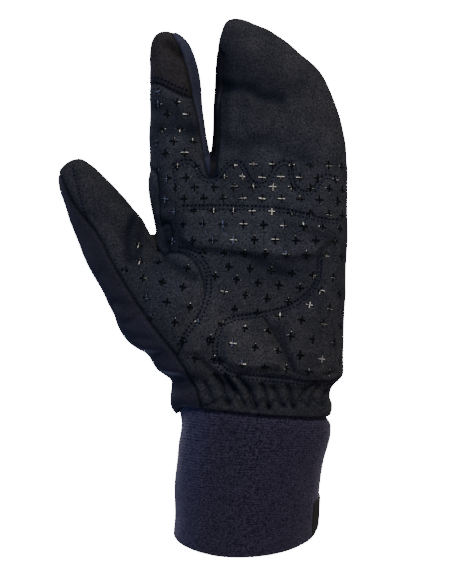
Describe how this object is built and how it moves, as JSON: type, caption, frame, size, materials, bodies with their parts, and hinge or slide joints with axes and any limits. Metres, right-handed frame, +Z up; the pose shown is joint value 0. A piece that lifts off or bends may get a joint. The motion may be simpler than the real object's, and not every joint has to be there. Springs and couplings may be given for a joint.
{
  "type": "lobster claw mitt",
  "caption": "Left-hand winter mitt with separate thumb and index stalls, a shared pouch for the other fingers, suede palm, soft-shell back and long knit cuff.",
  "frame": {"origin": "on the surface that the mitt rests on, under the middle of its bounding box", "axes": "+Z up out of the palm, +Y from the cuff to the fingertips, -X towards the thumb"},
  "size_m": [0.1588, 0.287, 0.045],
  "materials": {
    "suede": "brushed synthetic suede with raised silicone grip marks",
    "soft_shell": "matte stretch soft shell",
    "knit": "fine stretch knit",
    "tag_cloth": "woven satin"
  },
  "bodies": {
    "root": {"palm_panel": "suede", "thumb_face": "suede", "index_tip_cap": "suede", "web_strip": "suede", "fork_panel": "soft_shell", "back_panel": "soft_shell", "knit_cuff": "knit", "cuff_tag": "tag_cloth"}
  },
  "joints": []
}
